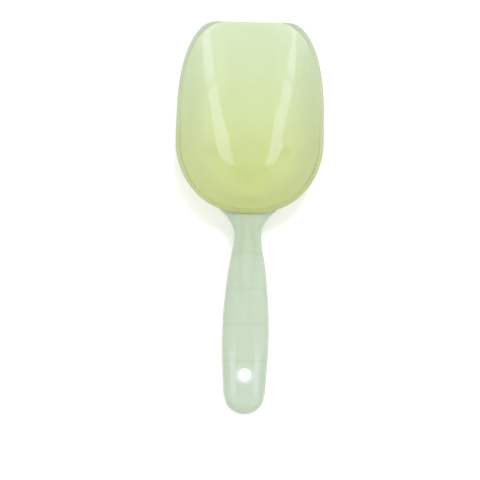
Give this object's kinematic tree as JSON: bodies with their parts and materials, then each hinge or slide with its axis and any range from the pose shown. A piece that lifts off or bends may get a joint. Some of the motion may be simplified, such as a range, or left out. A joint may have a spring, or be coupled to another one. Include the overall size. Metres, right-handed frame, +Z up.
{
  "type": "ice scoop",
  "caption": "Plastic bar scoop: a deep flat-floored bowl with an open lip and swept side walls, on a hollow oval handle with a hanging hole at its end.",
  "frame": {"origin": "on the table plane and the mid plane of the scoop, where the bowl's straight sides end and its rounded back begins", "axes": "+Y along the scoop towards the pouring lip, +Z up out of the bowl, +X to the right seen from above with the lip at the top"},
  "size_m": [0.0856, 0.2304, 0.0538],
  "materials": {
    "bowl_plastic": "see-through yellow-green, polished",
    "handle_plastic": "milky pale green, satin gloss"
  },
  "bodies": {
    "root": {"bowl": "bowl_plastic", "handle_upper_shell": "handle_plastic", "handle_lower_shell": "handle_plastic"}
  },
  "joints": []
}
